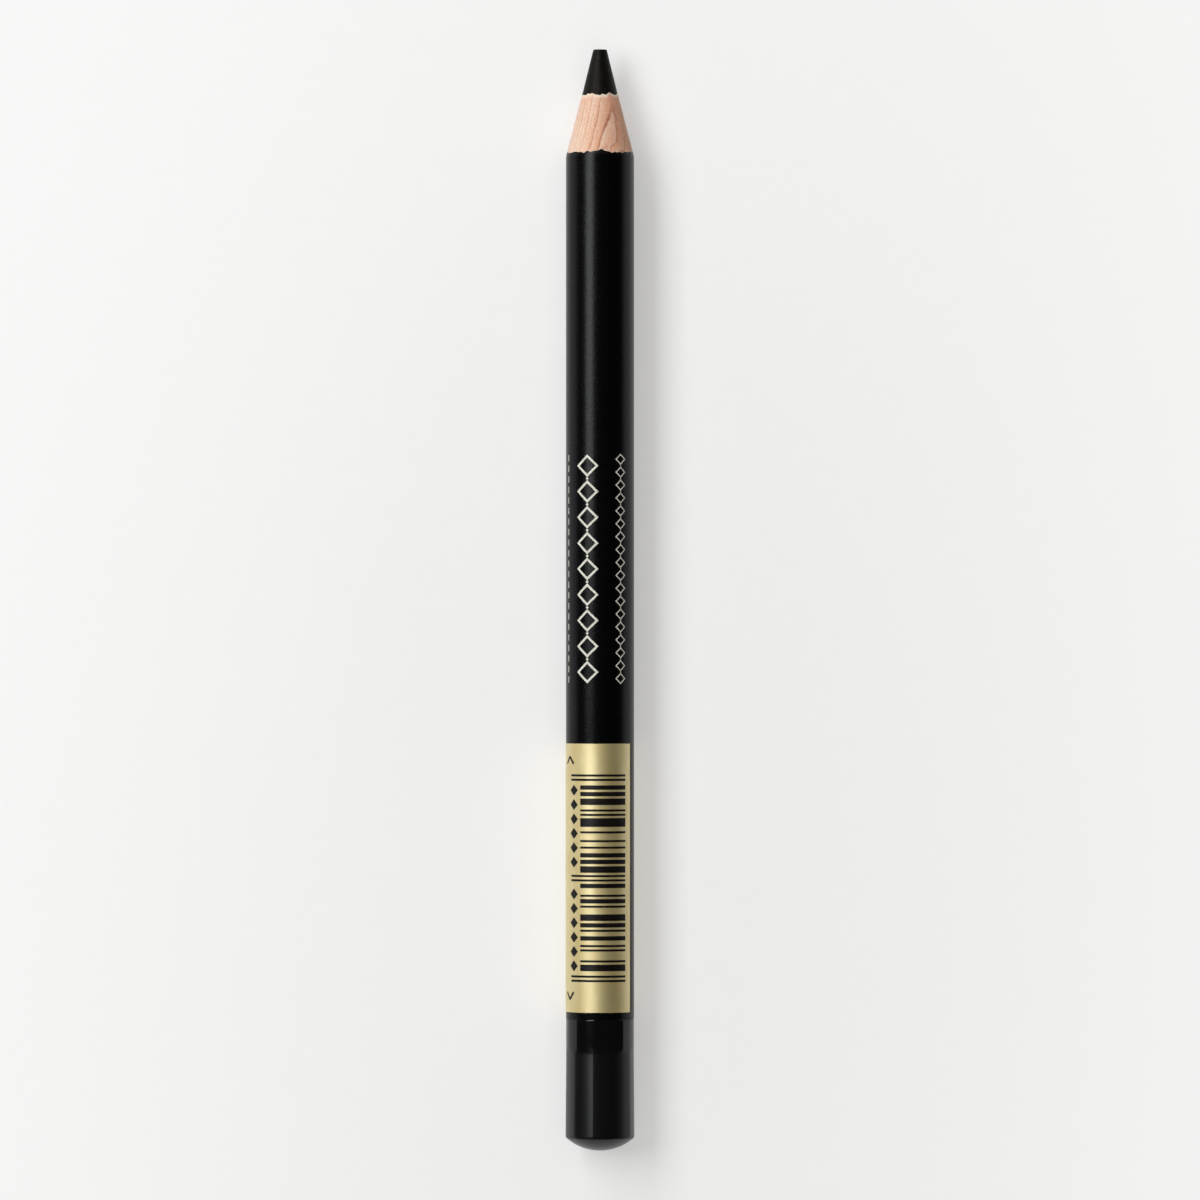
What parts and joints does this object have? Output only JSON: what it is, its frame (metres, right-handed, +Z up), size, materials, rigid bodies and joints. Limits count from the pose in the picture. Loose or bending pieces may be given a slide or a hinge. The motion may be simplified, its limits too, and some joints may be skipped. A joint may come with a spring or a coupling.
{
  "type": "eyeliner pencil",
  "caption": "Sharpened wood-cased eyeliner pencil in black lacquer, with a soft dark core, a gold foil label and a faceted domed end.",
  "frame": {"origin": "on the surface that the pencil lies on, under the middle of its length", "axes": "+Y along the pencil toward its tip, +Z up, toward the printed side of the label"},
  "size_m": [0.008, 0.126, 0.0079],
  "materials": {
    "kohl": "satin",
    "casing_wood": "matte",
    "black_lacquer": "satin",
    "gold_foil": "satin",
    "glossy_black_plastic": "gloss"
  },
  "bodies": {
    "root": {"kohl_core": "kohl", "wood_slat_upper": "casing_wood", "wood_slat_lower": "casing_wood", "lacquer_coat": "black_lacquer", "foil_label": "gold_foil", "end_plug": "glossy_black_plastic"}
  },
  "joints": []
}
